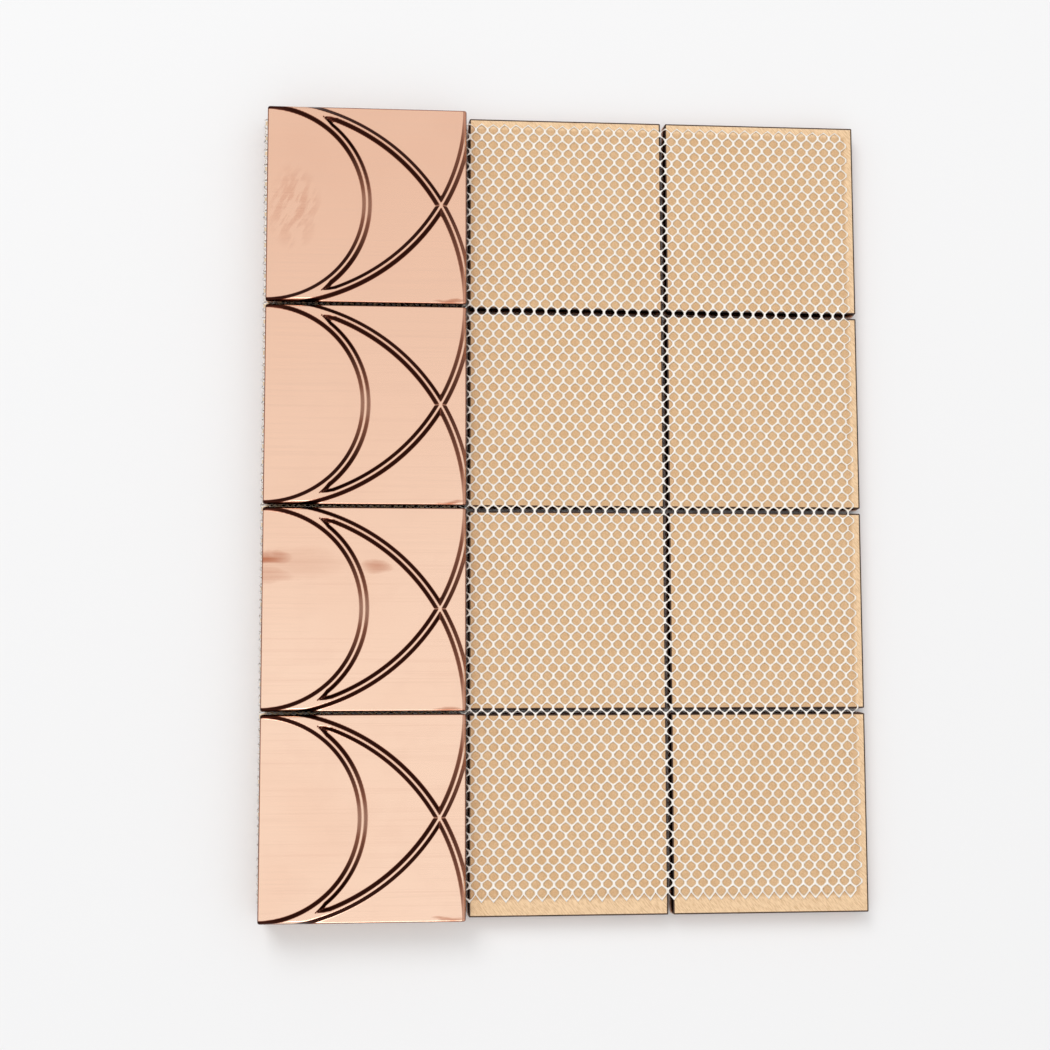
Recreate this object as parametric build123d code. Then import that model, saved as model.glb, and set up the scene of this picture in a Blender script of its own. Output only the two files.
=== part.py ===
# Mosaic sheet of stamped stainless steel tiles on a net backing, folded as it is shown and sold:
# the first column of tiles lies face up on the back of the second, and the other columns lie face down.
# Millimetres. +Z up, origin under the middle of the folded sheet, on the surface that it lies on.
import math
import os

from build123d import *

# Sheet layout
columns = 4
rows = 4
pitch = 75.0  # tile to tile, both ways
face_joint = 1.0  # gap between two caps at their faces

# Stamped cap and the core that fills it
tile_height = 8.0  # crest of the embossing to the back of the core
sheet_steel = 0.5
wall_draft = 0.45  # how far each wall leans in from the bend to the back
edge_bend = 0.5  # bevel of the bend where the face meets the walls

# Embossed lines on the face
line_height = 1.4
line_foot = 4.4  # width where the line leaves the face
line_crest = 1.3  # width of its flat crest
line_setback = 0.3  # from the cap's widest outline in to the ends of the lines
web_length = 20.0  # from the tile's corner to where two neighbouring lines part

# Net backing
net_thickness = 0.5
net_side_margin = 4.0  # from the outer columns' cells in to the net, at the sheet's two sides
net_head_margin = 4.5  # the same at the head of the columns
net_foot_margin = 7.0  # and at their foot
fold_clearance = 0.3  # between the two layers of net at the fold

# Derived sizes
half = pitch / 2
body_height = tile_height - line_height
bend_height = body_height - edge_bend
core_height = body_height - sheet_steel
wall_lean = wall_draft / bend_height
half_face = half - face_joint / 2
half_back = half_face - wall_draft
half_core = half_back - sheet_steel * math.hypot(1, wall_lean)
sheet_length = rows * pitch
fold_x = -(columns - 1) * half
fold_z = tile_height + net_thickness + fold_clearance / 2


def square_block(side):
    """A square block with the same profile on all four sides, given from its back up to its face."""
    mirrored = [(-x, z) for x, z in reversed(side)]
    profile = Plane.XZ * make_face(Polyline(*side, *mirrored, close=True))
    bar = extrude(profile, pitch, both=True)
    return bar & Rot(0, 0, 90) * bar


def core_block():
    """The core, from the back at z = 0 up to the underside of the steel."""
    return square_block([(half_core, 0), (half_core + wall_lean * core_height, core_height)])


def embossed_ring(centre_x, centre_y, radius):
    """One embossed line as a full ring about a corner or an edge of the tile's cell."""
    inner_side = [
        (radius - line_foot / 2, -sheet_steel / 2),
        (radius - line_foot / 2, 0),
        (radius - line_crest / 2, line_height),
    ]
    outer_side = [(2 * radius - x, z) for x, z in reversed(inner_side)]
    section = Plane.XZ * make_face(Polyline(*inner_side, *outer_side, close=True))
    return Pos(centre_x, centre_y, body_height) * revolve(section, Axis.Z)


def web(side):
    """The raised web between the half circle and the quarter circle, near the corner they share."""
    lune = Pos(-half, -side * half) * Circle(pitch) - Pos(-half, 0) * Circle(half)
    near_corner = Pos(-half + web_length / 2, side * half / 2) * Rectangle(web_length, half)
    foot_z = body_height - sheet_steel / 2
    return Pos(0, 0, foot_z) * extrude(lune & near_corner, tile_height - foot_z)


def embossing():
    """Every raised line of one tile, cut off just inside the walls of the cap."""
    lines = embossed_ring(-half, 0, half)
    for side in (-1, 1):
        lines += embossed_ring(-half, -side * half, pitch)
        lines += web(side)
    outline_size = 2 * (half_face - line_setback)
    return lines & extrude(Rectangle(outline_size, outline_size), tile_height)


def steel_cap():
    """The stamped cap, face up, with its back edge at z = 0."""
    shell = square_block([(half_back, 0), (half_face, bend_height), (half_face - edge_bend, body_height)])
    return shell + embossing() - core_block()


def net_strip(column):
    """The net behind one column of the flat sheet, with its tile side at z = 0."""
    low = -half
    high = half
    if column == 0:
        low += net_side_margin
        high -= face_joint / 2
    if column == 1:
        low += face_joint / 2
    if column == columns - 1:
        high -= net_side_margin
    length = sheet_length - net_head_margin - net_foot_margin
    centre_y = (net_foot_margin - net_head_margin) / 2
    return Pos((low + high) / 2, centre_y, net_thickness / 2) * Box(high - low, length, net_thickness)


# The flat sheet lies face down. Turning a column half way round the fold line brings it face up
# on top of its neighbour.
face_down = Rot(0, 180, 0)
fold_over = Pos(fold_x, 0, fold_z) * Rot(0, 180, 0) * Pos(-fold_x, 0, -fold_z)

cap = steel_cap()
core = core_block()
net_strips = [net_strip(column) for column in range(columns)]

os.makedirs("parts", exist_ok=True)
for column in range(columns):
    turn = fold_over if column == 0 else Pos(0, 0, 0)
    middle = turn * Pos(fold_x - half + column * pitch, 0, tile_height)
    seats = [middle * Pos(0, ((rows - 1) / 2 - row) * pitch, 0) * face_down for row in range(rows)]
    name = f"column{column + 1}"
    export_step(Compound([seat * cap for seat in seats]), f"parts/steel_caps_{name}.step")
    export_step(Compound([seat * core for seat in seats]), f"parts/cores_{name}.step")
    export_step(middle * net_strips[column], f"parts/net_{name}.step")
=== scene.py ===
# Dresses the folded mosaic sheet: embossed rose gold caps, beige cores and the white knotted net.
import bpy
import bmesh
import math
import numpy as np
from mathutils import Matrix, Vector


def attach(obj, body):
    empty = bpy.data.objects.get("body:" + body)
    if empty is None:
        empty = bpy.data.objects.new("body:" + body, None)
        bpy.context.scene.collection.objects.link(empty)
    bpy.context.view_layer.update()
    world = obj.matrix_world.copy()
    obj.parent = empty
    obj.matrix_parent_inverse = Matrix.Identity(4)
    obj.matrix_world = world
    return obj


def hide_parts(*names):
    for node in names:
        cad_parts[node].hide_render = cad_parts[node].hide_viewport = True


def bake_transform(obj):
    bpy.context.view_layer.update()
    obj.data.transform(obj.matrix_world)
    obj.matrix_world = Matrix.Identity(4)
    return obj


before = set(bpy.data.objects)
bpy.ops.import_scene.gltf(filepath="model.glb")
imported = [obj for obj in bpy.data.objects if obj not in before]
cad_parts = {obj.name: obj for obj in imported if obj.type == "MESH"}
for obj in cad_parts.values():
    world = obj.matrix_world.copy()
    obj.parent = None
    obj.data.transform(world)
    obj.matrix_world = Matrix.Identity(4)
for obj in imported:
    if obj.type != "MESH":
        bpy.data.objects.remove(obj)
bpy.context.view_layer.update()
mm = 0.001

sheetLayout = {  # millimetres, as in the solids
    "pitch": 75.0,
    "rows": 4,
    "columns": 4,
    "backHeight": 8.0,  # back of the tiles that lie face down
    "foldX": -112.5,
    "foldZ": 8.65,
}
pitch = sheetLayout["pitch"]
half = pitch / 2
rowCount, columnCount = sheetLayout["rows"], sheetLayout["columns"]
foldX, foldZ = sheetLayout["foldX"], sheetLayout["foldZ"]
lowBack = sheetLayout["backHeight"]
highBack = 2 * foldZ - lowBack  # back of the folded column
bodies = {1: "folded_column", 2: "open_columns", 3: "open_columns", 4: "open_columns"}


# middle of a row of tiles, counted from the far edge
def rowMiddle(row):
    return ((rowCount - 1) / 2 - row) * pitch


def smooth(value, low, high):
    t = np.clip((value - low) / (high - low), 0.0, 1.0)
    return t * t * (3 - 2 * t)


def meshObject(name, points, faces, slots=None):
    mesh = bpy.data.meshes.new(name)
    mesh.from_pydata((np.asarray(points) * mm).tolist(), [], faces)
    if slots is not None:
        mesh.polygons.foreach_set("material_index", slots)
    mesh.polygons.foreach_set("use_smooth", [True] * len(mesh.polygons))
    mesh.update()
    obj = bpy.data.objects.new(name, mesh)
    bpy.context.scene.collection.objects.link(obj)
    return obj


def newMaterial(name):
    material = bpy.data.materials.new(name)
    material.use_nodes = True
    tree = material.node_tree
    return material, tree, tree.nodes["Principled BSDF"]


# a shader node group whose inputs and outputs are all single values
def newGroup(name, inputs, outputs):
    group = bpy.data.node_groups.new(name, "ShaderNodeTree")
    for label, value in inputs.items():
        socket = group.interface.new_socket(name=label, in_out="INPUT", socket_type="NodeSocketFloat")
        socket.default_value = value
    for label in outputs:
        group.interface.new_socket(name=label, in_out="OUTPUT", socket_type="NodeSocketFloat")
    return group, group.nodes.new("NodeGroupInput"), group.nodes.new("NodeGroupOutput")


def place(tree, group, values):
    node = tree.nodes.new("ShaderNodeGroup")
    node.node_tree = group
    for label, value in values.items():
        node.inputs[label].default_value = value
    return node


def mathNode(tree, operation, a, b=None, clamp=False):
    node = tree.nodes.new("ShaderNodeMath")
    node.operation = operation
    node.use_clamp = clamp
    for index, value in enumerate((a, b)):
        if isinstance(value, (int, float)):
            node.inputs[index].default_value = value
        elif value is not None:
            tree.links.new(value, node.inputs[index])
    return node.outputs[0]


def mixColours(tree, factor, a, b):
    node = tree.nodes.new("ShaderNodeMix")
    node.data_type = "RGBA"
    for socket, value in ((node.inputs["Factor"], factor), (node.inputs[6], a), (node.inputs[7], b)):
        if isinstance(value, bpy.types.NodeSocket):
            tree.links.new(value, socket)
        elif isinstance(value, (int, float)):
            socket.default_value = value
        else:
            socket.default_value = (*value, 1.0)
    return node.outputs[2]


# stretch is how many times a metre the noise changes along each axis, lean turns it about z in degrees
def noiseNode(tree, scale, detail, stretch=(1, 1, 1), lean=0.0):
    coords = tree.nodes.new("ShaderNodeTexCoord")
    mapping = tree.nodes.new("ShaderNodeMapping")
    mapping.vector_type = "TEXTURE"  # turns before it stretches
    mapping.inputs["Scale"].default_value = [1 / v for v in stretch]
    mapping.inputs["Rotation"].default_value = (0, 0, math.radians(lean))
    noise = tree.nodes.new("ShaderNodeTexNoise")
    noise.inputs["Scale"].default_value = scale
    noise.inputs["Detail"].default_value = detail
    tree.links.new(coords.outputs["Object"], mapping.inputs["Vector"])
    tree.links.new(mapping.outputs["Vector"], noise.inputs["Vector"])
    return noise.outputs["Fac"]


def remap(tree, value, low, high, toLow=0.0, toHigh=1.0, kind="LINEAR"):
    node = tree.nodes.new("ShaderNodeMapRange")
    node.interpolation_type = kind
    tree.links.new(value, node.inputs["Value"])
    for label, number in (("From Min", low), ("From Max", high), ("To Min", toLow), ("To Max", toHigh)):
        node.inputs[label].default_value = number
    return node.outputs["Result"]


def objectAxes(tree):
    coords = tree.nodes.new("ShaderNodeTexCoord")
    split = tree.nodes.new("ShaderNodeSeparateXYZ")
    tree.links.new(coords.outputs["Object"], split.inputs["Vector"])
    return split.outputs


def aboveFold(tree, axes):
    return mathNode(tree, "SUBTRACT", axes["Z"], foldZ * mm)


def addBump(tree, shader, height, distance):
    bump = tree.nodes.new("ShaderNodeBump")
    bump.inputs["Distance"].default_value = distance
    tree.links.new(height, bump.inputs["Height"])
    tree.links.new(bump.outputs["Normal"], shader.inputs["Normal"])


brushForm = {
    "fineLines": (22, 2600, 22),  # changes a metre along x, y and z
    "broadLines": (9, 500, 9),
    "cloudScale": 26.0,
    "cloudRange": (0.35, 0.68),  # noise values that become 0 and 1
    "markScale": 95.0,
    "markRange": (0.52, 0.66),
}


# brush lines across the sheet, with broad clouds and small marks in the finish
def makeBrushGroup():
    group, given, out = newGroup("brushLines", {"Line Strength": 1.0}, ["Lines", "Clouds", "Marks"])
    fine = noiseNode(group, 1.0, 3.0, brushForm["fineLines"])
    broad = noiseNode(group, 1.0, 2.0, brushForm["broadLines"])
    centred = mathNode(group, "SUBTRACT", mathNode(group, "ADD", fine, broad), 1.0)
    lines = mathNode(group, "MULTIPLY", centred, given.outputs["Line Strength"])
    group.links.new(lines, out.inputs["Lines"])
    clouds = noiseNode(group, brushForm["cloudScale"], 2.0)
    group.links.new(remap(group, clouds, *brushForm["cloudRange"]), out.inputs["Clouds"])
    marks = noiseNode(group, brushForm["markScale"], 4.0)
    group.links.new(remap(group, marks, *brushForm["markRange"]), out.inputs["Marks"])
    return group


gritForm = {"Grit": (0.36, 0.66), "Mottle": (0.3, 0.7)}  # noise values that become 0 and 1


# fine grit and coarse mottling for the unglazed core and the cotton of the net
def makeGritGroup():
    given = {"Grit Scale": 2600.0, "Mottle Scale": 160.0}
    group, scales, out = newGroup("gritAndMottle", given, list(gritForm))
    coords = group.nodes.new("ShaderNodeTexCoord")
    for label, (low, high) in gritForm.items():
        noise = group.nodes.new("ShaderNodeTexNoise")
        noise.inputs["Detail"].default_value = 3.0
        group.links.new(coords.outputs["Object"], noise.inputs["Vector"])
        group.links.new(scales.outputs[label + " Scale"], noise.inputs["Scale"])
        group.links.new(remap(group, noise.outputs["Fac"], low, high), out.inputs[label])
    return group


brushGroup = makeBrushGroup()
gritGroup = makeGritGroup()

steelFinish = {  # places and distances in millimetres
    "farShadedColour": (0.81, 0.495, 0.355),  # painted shade: the plating colour darkens a little towards the far edge, standing in for a dimmer reflection there
    "nearLitColour": (0.95, 0.67, 0.51),
    "paintedShadeFades": (130.0, -60.0),  # from this y to this one
    "cloudColour": (0.88, 0.565, 0.41),
    "cloudDepth": 0.35,
    "markColour": (0.80, 0.52, 0.39),
    "markDepth": 0.10,
    "lineDepth": 0.9,
    "lineSwing": 0.4,  # brush line value at which the roughness stops changing
    "roughness": 0.20,
    "roughnessSwing": 0.07,
    "bumpHeight": 0.009,
    # painted shade and painted dark reflection on the slopes of the embossed lines and on the bent edge
    "shadedSlopes": (0.22, 0.72),  # slopes where the painted shade starts and where it is full
    "leastShade": 0.36,  # on slopes that face along x
    "turnedFully": 0.6,  # share of the slope along y that has all of the painted shade
    "edgeShade": 0.75,
    "edgeReach": (0.1, 0.6),
    "creaseHalfShadeColour": (0.42, 0.165, 0.10),  # colours at half and full depth of the painted shade
    "creaseShadeColour": (0.040, 0.010, 0.006),
    "halfShadeRange": (0.0, 0.5),
    "fullShadeRange": (0.4, 1.0),
    # painted shade: the walls in the joints darken towards the backs of the tiles, the outer walls don't
    "jointShadeColour": (0.06, 0.045, 0.04),
    "jointShadeHeights": (2.0, 5.8),  # heights from the fold where the painted shade is darkest and where it ends
    "outerWalls": {"X": 111.4, "Y": 148.9},
    "freeEdge": -38.6,
    # handling marks on the folded column's faces: centre, half sizes, then how dark
    "smears": [
        (-111.0, -19.0, 10.0, 2.6, 1.0),
        (-109.0, -25.4, 9.0, 3.4, 0.42),
        (-100.0, -21.0, 18.0, 6.0, 0.2),
        (-70.5, -22.2, 5.5, 2.7, 0.58),
    ],
    "darkCorner": (-44.0, -36.1, 6.0, 0.9, 0.85),  # a dark streak by the lower edge near the corner, one in each tile, y from the tile's middle
    "handMark": (-102.0, 111.0, 9.5, 15.0, 0.32),
    "handStrokes": (520, 150, 150),  # changes a metre, as for the brush lines
    "handLean": -30.0,
    "handRange": (0.44, 0.60),
    "smearColour": (0.48, 0.15, 0.07),
    "smearFloor": 15.5,  # faces lie above this height
    "smearFade": 1.3,
    "smearBreaks": (60, 520, 60),
    "breakRange": (0.3, 0.7, 0.75, 1.0),
    "smearWaves": (110, 190, 110),
    "smearWander": 4.5,
}


# brushed plating with clouds, marks and streaks, and painted shade that darkens it towards the far edge
def platedColourAndPaintedShade(tree, axes, brush):
    far, near = (v * mm for v in steelFinish["paintedShadeFades"])
    # painted shade: darker towards the far edge, lighter towards the near one
    towardsNear = remap(tree, axes["Y"], far, near)
    colour = mixColours(tree, towardsNear, steelFinish["farShadedColour"], steelFinish["nearLitColour"])
    clouds = mathNode(tree, "MULTIPLY", brush["Clouds"], steelFinish["cloudDepth"])
    colour = mixColours(tree, clouds, colour, steelFinish["cloudColour"])
    marks = mathNode(tree, "MULTIPLY", brush["Marks"], steelFinish["markDepth"])
    colour = mixColours(tree, marks, colour, steelFinish["markColour"])
    streaks = mathNode(tree, "MULTIPLY", brush["Lines"], steelFinish["lineDepth"], clamp=True)
    return mixColours(tree, streaks, colour, steelFinish["markColour"])


# handling marks on the folded column, and a dark streak near one corner of each tile, broken up by the brush
# lines
def handledMask(tree, axes, brush):
    breaks = noiseNode(tree, 1.0, 3.0, steelFinish["smearBreaks"])
    broken = mathNode(tree, "ADD", remap(tree, breaks, *steelFinish["breakRange"]), brush["Lines"])
    waves = noiseNode(tree, 1.0, 2.0, steelFinish["smearWaves"])
    wander = mathNode(tree, "SUBTRACT", waves, 0.5)
    wander = mathNode(tree, "MULTIPLY", wander, steelFinish["smearWander"] * mm)
    wavyY = mathNode(tree, "ADD", axes["Y"], wander)

    def spot(centreX, centreY, halfX, halfY, depth):
        squares = []
        for axis, centre, size in ((axes["X"], centreX, halfX), (wavyY, centreY, halfY)):
            away = mathNode(tree, "SUBTRACT", axis, centre * mm)
            away = mathNode(tree, "MULTIPLY", away, 1 / (size * mm))
            squares.append(mathNode(tree, "MULTIPLY", away, away))
        return remap(tree, mathNode(tree, "ADD", *squares), steelFinish["smearFade"], 0.0, 0.0, depth)

    strokes = noiseNode(tree, 1.0, 3.0, steelFinish["handStrokes"], steelFinish["handLean"])
    strokes = remap(tree, strokes, *steelFinish["handRange"])
    mask = mathNode(tree, "MULTIPLY", spot(*steelFinish["handMark"]), strokes)
    cornerX, cornerY, *corner = steelFinish["darkCorner"]
    corners = [(cornerX, rowMiddle(row) + cornerY, *corner) for row in range(rowCount)]
    for smear in steelFinish["smears"] + corners:
        mask = mathNode(tree, "MAXIMUM", mask, spot(*smear))
    mask = mathNode(tree, "MULTIPLY", mask, broken)
    onFace = mathNode(tree, "GREATER_THAN", axes["Z"], steelFinish["smearFloor"] * mm)
    return mathNode(tree, "MULTIPLY", mask, onFace, clamp=True)


# painted shade and dark reflection on the lines and the bent edge, from the slope, its turn and the distance from
# the edge that buildCaps keeps at each point
def paintedCreaseShade(tree):
    crease = tree.nodes.new("ShaderNodeAttribute")
    crease.attribute_name = "crease"
    split = tree.nodes.new("ShaderNodeSeparateXYZ")
    tree.links.new(crease.outputs["Vector"], split.inputs["Vector"])
    slope, turn, fromEdge = (split.outputs[axis] for axis in "XYZ")
    steep = remap(tree, slope, *steelFinish["shadedSlopes"], kind="SMOOTHSTEP")
    turned = remap(tree, turn, 0.0, steelFinish["turnedFully"], steelFinish["leastShade"], 1.0, "SMOOTHSTEP")
    onEdge = remap(tree, fromEdge, *steelFinish["edgeReach"], steelFinish["edgeShade"], 0.0, "SMOOTHSTEP")
    return mathNode(tree, "MAXIMUM", mathNode(tree, "MULTIPLY", steep, turned), onEdge)


# painted shade deep in the joints between the tiles, where light hardly reaches
def paintedJointShade(tree, axes):
    above = aboveFold(tree, axes)
    darkest, unshaded = (v * mm for v in steelFinish["jointShadeHeights"])
    shaded = remap(tree, mathNode(tree, "ABSOLUTE", above), darkest, unshaded, 1.0, 0.0)
    for axis, outside in steelFinish["outerWalls"].items():
        away = mathNode(tree, "ABSOLUTE", axes[axis])
        within = mathNode(tree, "LESS_THAN", away, outside * mm)
        shaded = mathNode(tree, "MULTIPLY", shaded, within)
    # the folded column's free edge is an outer one too
    freeEdge = mathNode(tree, "GREATER_THAN", axes["X"], steelFinish["freeEdge"] * mm)
    freeEdge = mathNode(tree, "MULTIPLY", freeEdge, mathNode(tree, "GREATER_THAN", above, 0.0))
    return mathNode(tree, "SUBTRACT", shaded, freeEdge, clamp=True)


def makeSteel():
    material, tree, shader = newMaterial("roseGoldSteel")
    brush = place(tree, brushGroup, {"Line Strength": 1.0}).outputs
    axes = objectAxes(tree)
    colour = platedColourAndPaintedShade(tree, axes, brush)
    colour = mixColours(tree, handledMask(tree, axes, brush), colour, steelFinish["smearColour"])
    # painted shade and dark reflection on the embossed lines and the bent edge, mixed in at half and full depth
    slopeShade = paintedCreaseShade(tree)
    colour = mixColours(tree, remap(tree, slopeShade, *steelFinish["halfShadeRange"]), colour, steelFinish["creaseHalfShadeColour"])
    colour = mixColours(tree, remap(tree, slopeShade, *steelFinish["fullShadeRange"]), colour, steelFinish["creaseShadeColour"])
    # painted shade in the joints between the tiles
    colour = mixColours(tree, paintedJointShade(tree, axes), colour, steelFinish["jointShadeColour"])
    tree.links.new(colour, shader.inputs["Base Color"])
    middle, swing, limit = (steelFinish[key] for key in ("roughness", "roughnessSwing", "lineSwing"))
    rough = remap(tree, brush["Lines"], -limit, limit, middle - swing, middle + swing)
    tree.links.new(rough, shader.inputs["Roughness"])
    addBump(tree, shader, brush["Lines"], steelFinish["bumpHeight"] * mm)
    shader.inputs["Metallic"].default_value = 1.0
    return material


# painted shade: the cut edges are coloured near black, standing in for the shadow and dark side walls along the
# sheet's edges
cutEdgeShade = {
    "colour": (0.07, 0.038, 0.026),
    "dark": (0.04, 0.024, 0.017),
    "metallic": 0.3,
    "roughness": 0.65,
}


def makeShadedCutEdge():
    material, tree, shader = newMaterial("cutSteelEdgeShaded")
    brush = place(tree, brushGroup, {"Line Strength": 1.0}).outputs
    colour = mixColours(tree, brush["Marks"], cutEdgeShade["colour"], cutEdgeShade["dark"])
    tree.links.new(colour, shader.inputs["Base Color"])
    shader.inputs["Metallic"].default_value = cutEdgeShade["metallic"]
    shader.inputs["Roughness"].default_value = cutEdgeShade["roughness"]
    return material


coreFinish = {
    "colour": (0.69, 0.44, 0.238),
    "pale": (0.74, 0.495, 0.285),
    "dark": (0.53, 0.31, 0.148),
    "gritScale": 2300.0,
    "mottleScale": 90.0,
    "gritDepth": 0.5,
    "band": (0.97, 0.71, 0.45),  # the bare rim beyond the net is dustier
    "bandDepth": 0.7,
    # where the rim starts and where it is full, in millimetres
    "bandEdges": [("Y", 145.0, 145.8), ("Y", -142.5, -143.3), ("X", 108.0, 108.8)],
    "strokes": (2300, 380, 380),  # fine comb strokes, changes a metre
    "strokeLean": 40.0,
    "strokeRange": (0.42, 0.66),
    "strokeDepths": (0.12, 0.5),  # under the net and on the rim
    "bumpHeight": 0.08,
    "roughness": 0.85,
}


def makeCore():
    material, tree, shader = newMaterial("beigeCore")
    scales = {"Grit Scale": coreFinish["gritScale"], "Mottle Scale": coreFinish["mottleScale"]}
    grit = place(tree, gritGroup, scales).outputs
    strokes = noiseNode(tree, 1.0, 2.0, coreFinish["strokes"], coreFinish["strokeLean"])
    combed = remap(tree, strokes, *coreFinish["strokeRange"])
    colour = mixColours(tree, grit["Mottle"], coreFinish["colour"], coreFinish["pale"])
    gritty = mathNode(tree, "MULTIPLY", grit["Grit"], coreFinish["gritDepth"])
    colour = mixColours(tree, gritty, colour, coreFinish["dark"])
    axes = objectAxes(tree)
    rims = [remap(tree, axes[axis], start * mm, full * mm) for axis, start, full in coreFinish["bandEdges"]]
    band = rims[0]
    for rim in rims[1:]:
        band = mathNode(tree, "MAXIMUM", band, rim)
    dusty = mathNode(tree, "MULTIPLY", band, coreFinish["bandDepth"])
    colour = mixColours(tree, dusty, colour, coreFinish["band"])
    scored = remap(tree, band, 0.0, 1.0, *coreFinish["strokeDepths"])
    colour = mixColours(tree, mathNode(tree, "MULTIPLY", combed, scored), colour, coreFinish["dark"])
    tree.links.new(colour, shader.inputs["Base Color"])
    addBump(tree, shader, mathNode(tree, "ADD", combed, grit["Grit"]), coreFinish["bumpHeight"] * mm)
    shader.inputs["Roughness"].default_value = coreFinish["roughness"]
    return material


netFinish = {
    "cord": (0.97, 0.945, 0.91),
    "cordShade": (0.94, 0.89, 0.83),
    "gritScale": 3200.0,
    "mottleScale": 260.0,
    "glue": (0.86, 0.67, 0.455),  # thin glue beside the cords, close to the backs
    "glueHeights": (0.42, 0.54),  # from the fold, millimetres
    "bumpHeight": 0.04,
    "roughness": 0.62,
}


def makeNet():
    material, tree, shader = newMaterial("whiteNetCord")
    scales = {"Grit Scale": netFinish["gritScale"], "Mottle Scale": netFinish["mottleScale"]}
    grit = place(tree, gritGroup, scales).outputs
    colour = mixColours(tree, grit["Mottle"], netFinish["cord"], netFinish["cordShade"])
    fromFold = mathNode(tree, "ABSOLUTE", aboveFold(tree, objectAxes(tree)))
    glue = remap(tree, fromFold, *(v * mm for v in netFinish["glueHeights"]))
    tree.links.new(mixColours(tree, glue, colour, netFinish["glue"]), shader.inputs["Base Color"])
    addBump(tree, shader, grit["Grit"], netFinish["bumpHeight"] * mm)
    shader.inputs["Roughness"].default_value = netFinish["roughness"]
    return material


steelMaterial = makeSteel()
cutMaterial = makeShadedCutEdge()
coreMaterial = makeCore()
netMaterial = makeNet()
print("materials made")

capForm = {  # millimetres, for one tile with its back at z = 0
    "halfFace": 37.0,
    "bodyHeight": 6.6,
    "coreHeight": 6.1,
    "bendRadius": 0.7,
    "bendSteps": (0, 24, 44, 62, 77),  # degrees round the bend
    "cornerRadius": 0.9,
    "leastRadius": 0.2,
    "wallDraft": 0.45,
    "wallDrafts": (0.08, 0.97),  # shares of the draft below the bend and above the cut edge
    "belowBend": 0.4,  # a ring keeps the wall straight from here on
    "outerRound": (0.10, 0.14),  # rounding of the cut edge, across and up
    "innerRound": (0.06, 0.08),
    "steel": 0.5,
    "lineHeight": 1.4,
    "lineFoot": 4.2,
    "lineCrest": 0.2,  # the rounded top of a line
    "lineRunOut": 1.1,  # lines sink towards the edge over this width
    "webNear": 2.6,  # two lines run together where they are closer than this
    "webFar": 5.0,  # and have sides of their own where they are further apart than this
    "grooveSlope": 1.05,
    "grooveBrow": 0.22,  # rounds the upper edge of the groove between them
    "slopeStep": 0.15,  # over which the slope of a line is taken
    "edgeFar": 2.0,  # distances from the edge are kept up to this
    "blocks": 40,  # coarse squares along one side
    "fineSquares": 4,  # along the side of a coarse one
    "flatLimit": 0.0001,  # the face counts as flat below this height
}


# how far the embossed lines stand above the face
def embossedHeight(x, y):
    foot, crest, rise = capForm["lineFoot"] / 2, capForm["lineCrest"] / 2, capForm["lineHeight"]
    near, far, brow = capForm["webNear"], capForm["webFar"], capForm["grooveBrow"]

    def line(away):
        return rise * (1 - smooth(away, crest, foot))

    halfCircle = np.hypot(x + half, y) - half
    height = line(np.abs(halfCircle))
    for side in (-1, 1):
        quarter = np.hypot(x + half, y + side * half) - pitch
        height = np.maximum(height, line(np.abs(quarter)))
        between = (quarter < 0) & (halfCircle > 0) & (x < 0)
        apart = halfCircle - quarter
        edge = crest + (near / 2 - crest) * (1 - smooth(apart, near, far))
        inside = np.maximum(apart / 2 - edge - np.abs(halfCircle + quarter) / 2, 0)
        web = rise - capForm["grooveSlope"] * (np.hypot(inside, brow) - brow)
        height = np.maximum(height, np.where(between, web, 0))
    return height


# for the painted shade: how steep the lines are, how much of that faces along y, and how far the edge is
def creaseShape(x, y, fromEdge):
    step = capForm["slopeStep"]
    slopeX = (embossedHeight(x + step, y) - embossedHeight(x - step, y)) / (2 * step)
    slopeY = (embossedHeight(x, y + step) - embossedHeight(x, y - step)) / (2 * step)
    slope = np.hypot(slopeX, slopeY)
    turned = np.abs(slopeY) / np.maximum(slope, 1e-6)
    return np.stack([slope, turned, np.minimum(fromEdge, capForm["edgeFar"])], -1)


# turns the corners of a square outline into rounded ones
def roundCorners(x, y, size, radius):
    dx = np.abs(x) - (size - radius)
    dy = np.abs(y) - (size - radius)
    corner = (dx > 0) & (dy > 0)
    reach = np.where(corner, np.maximum(dx, dy) / np.maximum(np.hypot(dx, dy), 1e-9), 1.0)
    newX = np.where(corner, np.sign(x) * (size - radius + dx * reach), x)
    newY = np.where(corner, np.sign(y) * (size - radius + dy * reach), y)
    return newX, newY


# coarse squares where the face is flat, fine ones under the lines
def faceCells(raised, rim):
    blocks, fine, count = capForm["blocks"], capForm["fineSquares"], len(raised)
    cuts = list(range(rim + 1)) + [rim + fine * k for k in range(1, blocks + 1)]
    cuts += [count - 1 - k for k in range(rim - 1, -1, -1)]
    cells = []
    for a0, a1 in zip(cuts, cuts[1:]):
        for b0, b1 in zip(cuts, cuts[1:]):
            if raised[a0 : a1 + 1, b0 : b1 + 1].any():
                cells += [(a, a + 1, b, b + 1) for a in range(a0, a1) for b in range(b0, b1)]
            else:
                cells.append((a0, a1, b0, b1))
    return cells


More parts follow.
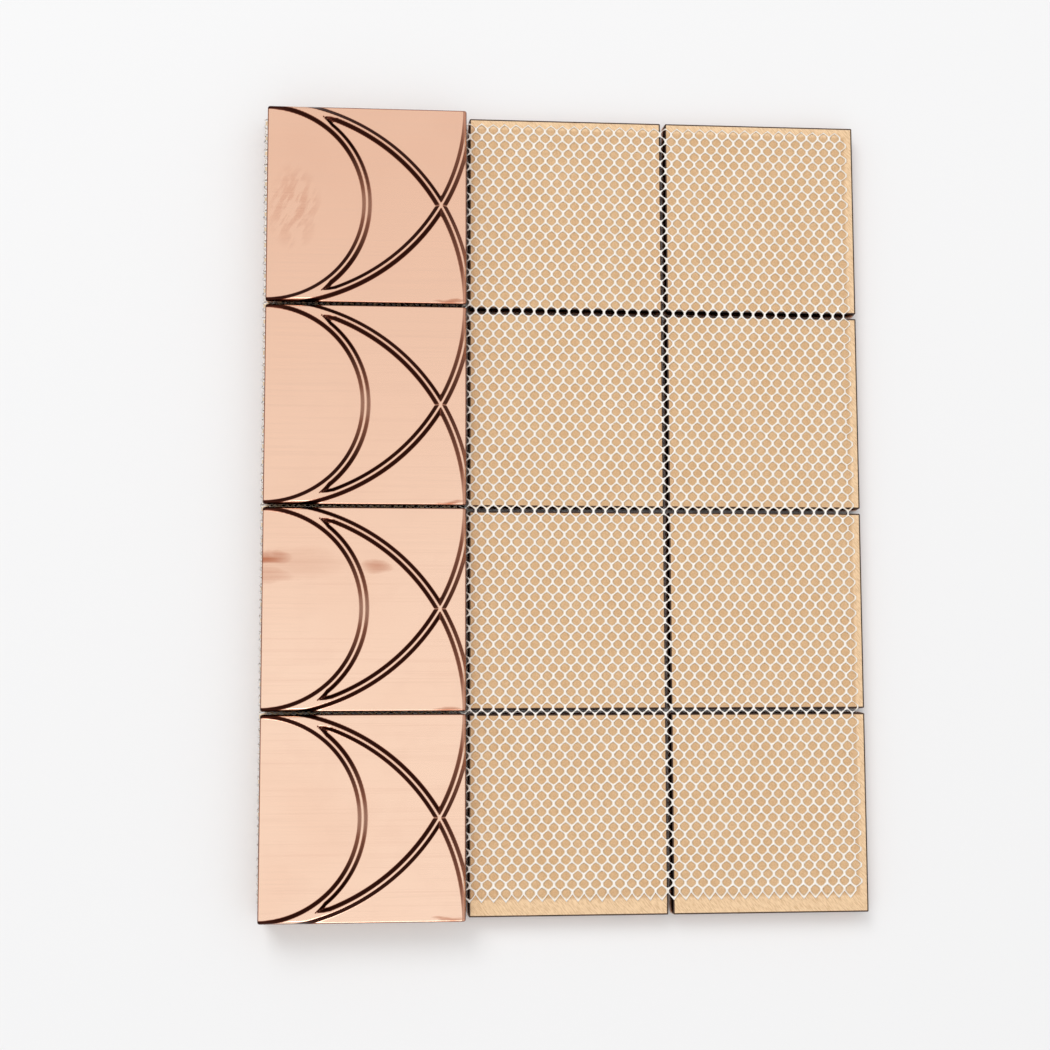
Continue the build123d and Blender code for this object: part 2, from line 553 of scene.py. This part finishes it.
def capMesh():
    size, bend = capForm["halfFace"], capForm["bendRadius"]
    border = bend * (1 - np.cos(np.radians(capForm["bendSteps"])))
    inner = np.linspace(-size + bend, size - bend, capForm["blocks"] * capForm["fineSquares"] + 1)
    line = np.concatenate([-size + border, inner, (size - border)[::-1]])
    count = len(line)
    x, y = np.meshgrid(line, line, indexing="ij")
    fromEdge = size - np.maximum(np.abs(x), np.abs(y))
    x, y = roundCorners(x, y, size, capForm["cornerRadius"])
    height = embossedHeight(x, y) * smooth(fromEdge, 0.0, capForm["lineRunOut"])
    drop = bend - np.sqrt(np.maximum(bend**2 - np.maximum(bend - fromEdge, 0) ** 2, 0))
    z = capForm["bodyHeight"] + height - drop

    cells = faceCells(height > capForm["flatLimit"], len(border))
    used = np.zeros((count, count), bool)
    for a0, a1, b0, b1 in cells:
        used[[a0, a1, a1, a0], [b0, b0, b1, b1]] = True
    number = -np.ones((count, count), int)
    number[used] = np.arange(used.sum())
    points = np.stack([x, y, z], -1)[used]
    crease = creaseShape(x, y, fromEdge)[used]
    faces = []
    for a0, a1, b0, b1 in cells:
        loop = [(a, b0) for a in range(a0, a1)] + [(a1, b) for b in range(b0, b1)]
        loop += [(a, b1) for a in range(a1, a0, -1)] + [(a0, b) for b in range(b1, b0, -1)]
        faces.append([int(number[p]) for p in loop if used[p]])
    slots = [0] * len(faces)

    # walls, cut edge and the hidden inside, ring by ring
    last = count - 1
    ringCells = [(a, 0) for a in range(last)] + [(last, b) for b in range(last)]
    ringCells += [(a, last) for a in range(last, 0, -1)] + [(0, b) for b in range(last, 0, -1)]
    ringCells = [p for p in ringCells if used[p]]
    ring = [int(number[p]) for p in ringCells]
    flatX = np.array([line[a] for a, b in ringCells])
    flatY = np.array([line[b] for a, b in ringCells])
    draft, steel = capForm["wallDraft"], capForm["steel"]
    highShare, lowShare = capForm["wallDrafts"]
    outer, inside = capForm["outerRound"], capForm["innerRound"]
    levels = [  # inset, height and material slot
        (draft * highShare, capForm["bodyHeight"] - bend - capForm["belowBend"], 0),
        (draft * lowShare, outer[1], 0),
        (draft + outer[0], 0.0, 1),
        (draft + steel - inside[0], 0.0, 1),
        (draft + steel, inside[1], 1),
        (steel, capForm["coreHeight"], 1),
    ]
    for inset, level, slotIndex in levels:
        scale = (size - inset) / size
        radius = max(capForm["cornerRadius"] - inset, capForm["leastRadius"])
        ringX, ringY = roundCorners(flatX * scale, flatY * scale, size - inset, radius)
        base = len(points)
        points = np.vstack([points, np.stack([ringX, ringY, np.full(len(ring), level)], -1)])
        crease = np.vstack([crease, np.tile((0.0, 0.0, capForm["edgeFar"]), (len(ring), 1))])
        newRing = list(range(base, base + len(ring)))
        for k in range(len(ring)):
            n = (k + 1) % len(ring)
            faces.append([ring[n], ring[k], newRing[k], newRing[n]])
            slots.append(slotIndex)
        ring = newRing
    faces.append(ring[::-1])
    slots.append(1)
    return points, faces, slots, crease


def buildCaps():
    points, faces, slots, crease = capMesh()
    for column in range(1, columnCount + 1):
        allPoints, allFaces = [], []
        for row in range(rowCount):
            if column == 1:  # folded over, face up
                moved = points + (foldX + half, rowMiddle(row), highBack)
            else:
                moved = points * (-1, 1, -1) + (foldX + (2 * column - 3) * half, rowMiddle(row), lowBack)
            shift = row * len(points)
            allPoints.append(moved)
            allFaces += [[i + shift for i in face] for face in faces]
        caps = meshObject(f"steelCapsColumn{column}", np.vstack(allPoints), allFaces, slots * rowCount)
        kept = caps.data.attributes.new("crease", "FLOAT_VECTOR", "POINT")
        kept.data.foreach_set("vector", np.tile(crease, (rowCount, 1)).reshape(-1))
        caps.data.materials.append(steelMaterial)
        caps.data.materials.append(cutMaterial)
        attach(caps, bodies[column])
        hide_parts(f"steel_caps_column{column}")
    print("caps made,", sum(len(f) - 2 for f in faces), "triangles a tile")


buildCaps()

for column in range(1, columnCount + 1):
    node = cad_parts[f"cores_column{column}"]
    node.data.materials.clear()
    node.data.materials.append(coreMaterial)
print("cores dressed")

netForm = {  # millimetres
    "cellsAcross": 17,  # in one tile pitch
    "rowsAlong": 25.75,
    "rowAnchor": 75.0,  # one row of holes lies along this joint
    "cordHeight": 0.46,
    "knotHeight": 0.54,
    "knotLength": 1.2,
    "knotEnds": 0.6,  # share of the rise from cord to knot at the knot's ends
    "glueHeight": 0.15,
    "glueReach": 0.48,  # share of the way from a cord's middle to the hole
    "cordReach": 0.6,  # the same where there is no glue
    "cordSlope": 0.8,  # and the cord's height there
    "holeLip": 0.03,
    "openHole": (1.76, 1.80),  # half sizes of a hole over a joint
    "gluedHole": (1.50, 1.56),  # and of one ringed with glue
    "leastCord": 1.08,  # a cell is at least this much larger than its hole
    "jointReach": 1.7,  # there is no glue this close to a joint
    "holeRoundness": 1.7,
    "seed": 12,
    "unevenness": 0.16,  # how far a knot strays at most
    "straySpread": 0.5,
    "spareKnots": 8,
    "weldReach": 0.01,
    "headMargin": 2.6,
    "footMargin": 6.8,
    "sideMargin": 3.2,
    "cover": 0.5,  # share of the flat sheet that cord and glue take up
    "tailDrop": 1.1,  # the lowest cords hang a little longer
    "foldCells": (-2, 1),  # half steps from the fold line whose cells bend round it
    "foldTurn": 0.63,  # the net turns within this distance of the fold line
    "foldRim": 1.5,  # and lies flat beyond this one
    "foldCentre": 0.4,  # middle of the turn before the loops stand out
    "loopReach": 0.30,  # how far the loops stand out at the foot of the fold
    "loopGain": 0.80,  # and how much further at its head
    "blendHeights": (8.5, 8.8),  # between these the loops pass from one body to the other
}
netStepX = pitch / netForm["cellsAcross"] / 2
netStepY = pitch / netForm["rowsAlong"]


# cells of six cords each, given as (half steps from the fold line, row) and laid flat on the backs
def netCells(cells, jitter):
    lift = netForm["knotLength"] / 2
    corners = [(1, 0, -lift), (1, 0, lift), (0, 1, -lift), (-1, 0, lift), (-1, 0, -lift), (0, -1, lift)]
    besides = [(2, 0), (1, 1), (-1, 1), (-2, 0), (-1, -1), (1, -1)]
    ends = netForm["knotEnds"]
    knots = np.array([ends, 1.0, ends, 0, ends, 0] * 2)  # knots stand above the cords
    cord = netForm["cordHeight"] + (netForm["knotHeight"] - netForm["cordHeight"]) * knots
    around = len(knots)
    power = netForm["holeRoundness"]
    present = set(cells)
    points, faces = [], []
    for count, (i, row) in enumerate(cells):
        lowest = (i - 1, row - 1) not in present and (i + 1, row - 1) not in present
        rim = []
        for di, dr, up in corners:
            off = jitter[(i + di) % jitter.shape[0], (row + dr) % jitter.shape[1]]
            tail = netForm["tailDrop"] if dr < 0 and lowest else 0
            y = netForm["rowAnchor"] + (row + dr) * netStepY + up + off[1] - tail
            rim.append(((i + di + 0.5) * netStepX + off[0], y))
        rim = np.array(rim)
        rim = np.stack([rim, (rim + np.roll(rim, -1, 0)) / 2], 1).reshape(-1, 2)
        middle = rim.mean(0)
        arm = rim - middle
        joint = np.abs((middle - (0, pitch) + half) % pitch - half).min()
        glued = joint > netForm["jointReach"]
        holeSize = netForm["gluedHole" if glued else "openHole"]
        reach = (np.abs(arm / holeSize) ** power).sum(1) ** (1 / power)
        hole = middle + arm / np.maximum(reach, netForm["leastCord"])[:, None]
        share = netForm["glueReach" if glued else "cordReach"]
        flank = np.full(around, netForm["glueHeight"]) if glued else cord * netForm["cordSlope"]
        rings = [
            (rim, cord),
            (rim * (1 - share) + hole * share, flank),
            (hole, np.full(around, netForm["holeLip"])),
            (rim, np.zeros(around)),
        ]
        base = count * len(rings) * around
        points.append(np.vstack([np.column_stack([xy, z]) for xy, z in rings]))
        for k in range(around):
            n = (k + 1) % around
            pairs = [(0, 1), (1, 2), (2, 3)]
            di, dr = besides[k // 2]
            if (i + di, row + dr) not in present:
                pairs.append((3, 0))
            for a, b in pairs:
                ringA, ringB = base + a * around, base + b * around
                faces.append([ringA + k, ringA + n, ringB + n, ringB + k])
    return np.vstack(points), faces


# joins the cells
def weld(obj):
    mesh = bmesh.new()
    mesh.from_mesh(obj.data)
    bmesh.ops.remove_doubles(mesh, verts=mesh.verts, dist=netForm["weldReach"] * mm)
    bmesh.ops.recalc_face_normals(mesh, faces=mesh.faces)
    mesh.to_mesh(obj.data)
    mesh.free()
    obj.data.polygons.foreach_set("use_smooth", [True] * len(obj.data.polygons))


# puts the flat net on the backs, or turns it over with the folded column
def layNet(points, folded):
    t, y, z = points.T
    if folded:
        return np.stack([foldX - t, y, highBack - z], -1)
    return np.stack([foldX + t, y, lowBack + z], -1)


# bends the flat net round the fold, where its loops stand out
def bendNet(points):
    t, y, z = points.T
    turn, rim = netForm["foldTurn"], netForm["foldRim"]
    headward = np.clip(y / (rowCount * pitch) + 0.5, 0, 1)
    centre = netForm["foldCentre"] - netForm["loopReach"] - netForm["loopGain"] * headward
    eased = centre + (np.abs(t) - turn) / (rim - turn) * (rim - centre)
    run = np.where(np.abs(t) > rim, np.abs(t), eased)
    angle = np.clip(t / turn, -1, 1) * math.pi / 2
    radius = foldZ - lowBack - z
    bent = np.abs(t) < turn
    x = np.where(bent, centre - radius * np.cos(angle), run)
    up = np.where(bent, foldZ - radius * np.sin(angle), foldZ - np.sign(t) * radius)
    return np.stack([foldX + x, y, up], -1)


# which cells each column's net has, and which bend round the fold
def sortCells(rows):
    perPitch = 2 * netForm["cellsAcross"]
    edge = netForm["sideMargin"] / netStepX
    first, last = -perPitch, (columnCount - 1) * perPitch
    groups = {"fold": []}
    for row in rows:
        for i in range(first, last):
            if (i + row) % 2 or i - 0.5 < first + edge or i + 1.5 > last - edge:
                continue
            if netForm["foldCells"][0] <= i <= netForm["foldCells"][1]:
                groups["fold"].append((i, row))
            else:
                groups.setdefault(2 + i // perPitch, []).append((i, row))
    return groups


def buildNet():
    tall = netStepY - netForm["knotLength"] / 2
    head = 2 * pitch - netForm["headMargin"] - tall - netForm["rowAnchor"]
    foot = -2 * pitch + netForm["footMargin"] + tall - netForm["rowAnchor"]
    rows = range(math.ceil(foot / netStepY), math.floor(head / netStepY) + 1)
    chance = np.random.default_rng(netForm["seed"])
    spare = netForm["spareKnots"]
    knotCounts = (2 * columnCount * netForm["cellsAcross"] + spare, len(rows) + spare)
    strays = chance.normal(0, netForm["straySpread"], (*knotCounts, 2))
    jitter = np.clip(strays, -1, 1) * netForm["unevenness"]
    for column, cells in sortCells(rows).items():
        points, faces = netCells(cells, jitter)
        if column == "fold":
            net = meshObject("netFold", bendNet(points), faces)
        else:
            net = meshObject(f"netColumn{column}", layNet(points, column == 1), faces)
        weld(net)
        net.data.materials.append(netMaterial)
        if column == "fold":
            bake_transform(net)
        else:
            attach(net, bodies[column])
            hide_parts(f"net_column{column}")


buildNet()

floorFinish = {"size": 8.0, "colour": (0.835, 0.836, 0.84), "roughness": 0.7, "shine": 0.2}


def buildFloor():
    s = floorFinish["size"] / mm / 2
    floor = meshObject("paleFloor", [(-s, -s, 0), (s, -s, 0), (s, s, 0), (-s, s, 0)], [[0, 1, 2, 3]])
    material, tree, shader = newMaterial("paleFloor")
    shader.inputs["Base Color"].default_value = (*floorFinish["colour"], 1)
    shader.inputs["Roughness"].default_value = floorFinish["roughness"]
    shader.inputs["Specular IOR Level"].default_value = floorFinish["shine"]
    floor.data.materials.append(material)
    print("floor laid")


buildFloor()

studio = {
    "dome": [  # upward part of the direction, then the dome's colour there
        (0.15, (0.58, 0.577, 0.575)),
        (0.45, (0.66, 0.657, 0.655)),
        (0.62, (0.88, 0.878, 0.876)),
        (0.74, (1, 1, 1)),
    ],
    "cameraSees": 0.9,
    # name, place, size, power, then whether cloth and stone catch it, and whether metal mirrors it
    "lamps": [
        ("farKey", (-1.2, 2.3, 2.9), 1.8, 50.0, True, False),
        ("nearStrip", (-0.2, -2.8, 2.6), 1.6, 20.0, False, True),
    ],
}


def buildLight():
    world = bpy.data.worlds.new("studioDome")
    bpy.context.scene.world = world
    world.use_nodes = True
    tree = world.node_tree
    coords = tree.nodes.new("ShaderNodeTexCoord")
    split = tree.nodes.new("ShaderNodeSeparateXYZ")
    tree.links.new(coords.outputs["Generated"], split.inputs["Vector"])
    ramp = tree.nodes.new("ShaderNodeValToRGB")
    while len(ramp.color_ramp.elements) < len(studio["dome"]):
        ramp.color_ramp.elements.new(0.5)
    for element, (position, colour) in zip(ramp.color_ramp.elements, studio["dome"]):
        element.position = position
        element.color = (*colour, 1)
    tree.links.new(split.outputs["Z"], ramp.inputs["Fac"])
    path = tree.nodes.new("ShaderNodeLightPath")
    seen = (studio["cameraSees"],) * 3
    sky = mixColours(tree, path.outputs["Is Camera Ray"], ramp.outputs["Color"], seen)
    tree.links.new(sky, tree.nodes["Background"].inputs["Color"])
    for name, at, size, energy, onMatt, onMetal in studio["lamps"]:
        lamp = bpy.data.lights.new(name, "AREA")
        lamp.size = size
        lamp.energy = energy
        obj = bpy.data.objects.new(name, lamp)
        obj.location = at
        obj.visible_diffuse = onMatt
        obj.visible_glossy = onMetal
        obj.rotation_euler = (-Vector(at)).to_track_quat("-Z", "Y").to_euler()
        bpy.context.scene.collection.objects.link(obj)
    print("studio lit")


buildLight()

cameraSet = {  # metres, and millimetres for the lens
    "place": (-0.065, -0.063, 0.604),
    "forward": (0.0819, 0.0950, -0.9921),
    "upward": (-0.0054, 0.9955, 0.0948),
    "lens": 55.34,
    "sensor": 36.0,
    "clipStart": 0.01,
}


def buildCamera():
    camera = bpy.data.cameras.new("camera")
    camera.sensor_fit = "HORIZONTAL"
    camera.sensor_width = cameraSet["sensor"]
    camera.lens = cameraSet["lens"]
    camera.clip_start = cameraSet["clipStart"]
    obj = bpy.data.objects.new("camera", camera)
    back = -Vector(cameraSet["forward"]).normalized()
    right = Vector(cameraSet["upward"]).cross(back).normalized()
    up = back.cross(right)
    turn = Matrix((right, up, back)).transposed().to_4x4()
    obj.matrix_world = Matrix.Translation(cameraSet["place"]) @ turn
    bpy.context.scene.collection.objects.link(obj)
    bpy.context.scene.camera = obj
    print("camera placed")


buildCamera()
bpy.context.scene.view_settings.view_transform = "Standard"
